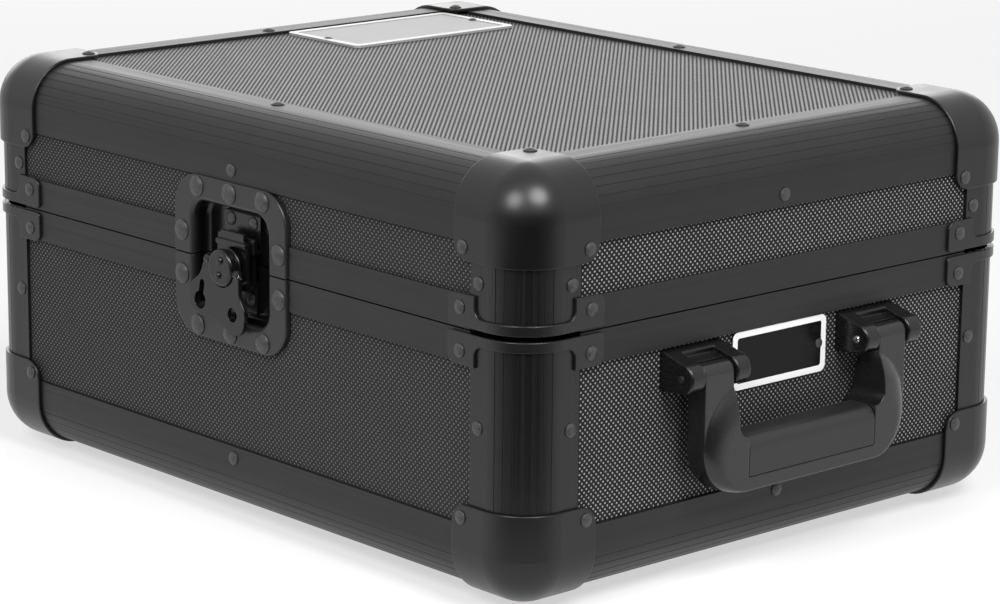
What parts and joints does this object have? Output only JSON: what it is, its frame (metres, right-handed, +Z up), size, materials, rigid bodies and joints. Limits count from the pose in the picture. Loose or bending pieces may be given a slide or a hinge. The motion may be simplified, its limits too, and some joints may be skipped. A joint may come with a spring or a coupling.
{
  "type": "flight case",
  "caption": "Black hard flight case with dotted laminate panels, rounded edge profiles, ball corners, a hinged lid, a recessed butterfly twist latch and a swinging end handle.",
  "frame": {"origin": "on the ground under the middle of the closed case's overall box, handle, latch and hinges included", "axes": "+X towards the handle end, -Y towards the latch, +Z up"},
  "size_m": [0.3826, 0.306, 0.1816],
  "materials": {
    "laminate": "satin",
    "edge_profile": "satin",
    "corner_steel": "satin",
    "rivets": "satin",
    "latch_steel": "satin",
    "hinge_steel": "satin",
    "bright_steel": "satin",
    "foam": "matte",
    "foot_rubber": "matte",
    "handle_plastic": "satin",
    "grip_rubber": "satin",
    "label_plate": "satin",
    "badge_plate": "satin"
  },
  "bodies": {
    "base": {"base_floor_panel": "laminate", "base_front_panel": "laminate", "base_front_edge": "edge_profile", "base_front_rim": "edge_profile", "base_rear_panel": "laminate", "base_rear_edge": "edge_profile", "base_rear_rim": "edge_profile", "base_left_panel": "laminate", "base_left_edge": "edge_profile", "base_left_rim": "edge_profile", "base_right_panel": "laminate", "base_right_edge": "edge_profile", "base_right_rim": "edge_profile", "base_corner_posts": "edge_profile", "base_corner_caps": "corner_steel", "base_corner_braces": "corner_steel", "base_rivets": "rivets", "base_foam_pad": "foam", "base_foam_frame": "foam", "rubber_feet": "foot_rubber", "foot_screws": "bright_steel", "latch_lower_dish": "latch_steel", "latch_carrier": "latch_steel", "latch_lower_rivets": "rivets", "hinge_base_leaves": "hinge_steel", "hinge_pins": "hinge_steel", "handle_brackets": "handle_plastic", "handle_pins": "bright_steel", "handle_screws": "bright_steel", "handle_label": "label_plate"},
    "lid": {"lid_top_panel": "laminate", "lid_front_panel": "laminate", "lid_front_edge": "edge_profile", "lid_front_rim": "edge_profile", "lid_rear_panel": "laminate", "lid_rear_edge": "edge_profile", "lid_rear_rim": "edge_profile", "lid_left_panel": "laminate", "lid_left_edge": "edge_profile", "lid_left_rim": "edge_profile", "lid_right_panel": "laminate", "lid_right_edge": "edge_profile", "lid_right_rim": "edge_profile", "lid_corner_posts": "edge_profile", "lid_corner_caps": "corner_steel", "lid_corner_braces": "corner_steel", "lid_rivets": "rivets", "lid_foam": "foam", "lid_badge": "badge_plate", "latch_upper_dish": "latch_steel", "latch_keeper": "latch_steel", "latch_upper_rivets": "rivets", "hinge_lid_leaves": "hinge_steel"},
    "latch_spindle": {"latch_spindle": "latch_steel", "latch_wing_pin": "latch_steel"},
    "latch_wings": {"latch_wings": "latch_steel"},
    "latch_hook": {"latch_hook": "latch_steel"},
    "handle": {"handle_bail": "handle_plastic", "handle_grip": "grip_rubber"}
  },
  "joints": [
    {"name": "lid_hinge", "type": "hinge", "parent": "base", "child": "lid", "pos_m": [-0.00847, 0.14544, 0.1142], "axis": [-1, 0, 0], "range_deg": [0, 110]},
    {"name": "handle_swing", "type": "hinge", "parent": "base", "child": "handle", "pos_m": [0.18222, -0.00196, 0.09], "axis": [0, -1, 0], "range_deg": [0, 135]},
    {"name": "latch_twist", "type": "hinge", "parent": "base", "child": "latch_spindle", "pos_m": [-0.00847, -0.14496, 0.1134], "axis": [0, 1, 0], "range_deg": [0, 180]},
    {"name": "wing_fold", "type": "hinge", "parent": "latch_spindle", "child": "latch_wings", "pos_m": [-0.00847, -0.14966, 0.1134], "axis": [-0.9799, 0, 0.1994], "range_deg": [0, 90]},
    {"name": "hook_lift", "type": "slide", "parent": "base", "child": "latch_hook", "axis": [0, 0, 1], "range_m": [0, 0.004]}
  ],
  "couplings": [
    {"joint": "hook_lift", "follows": "latch_twist", "m_per_rad": 0.001273}
  ]
}
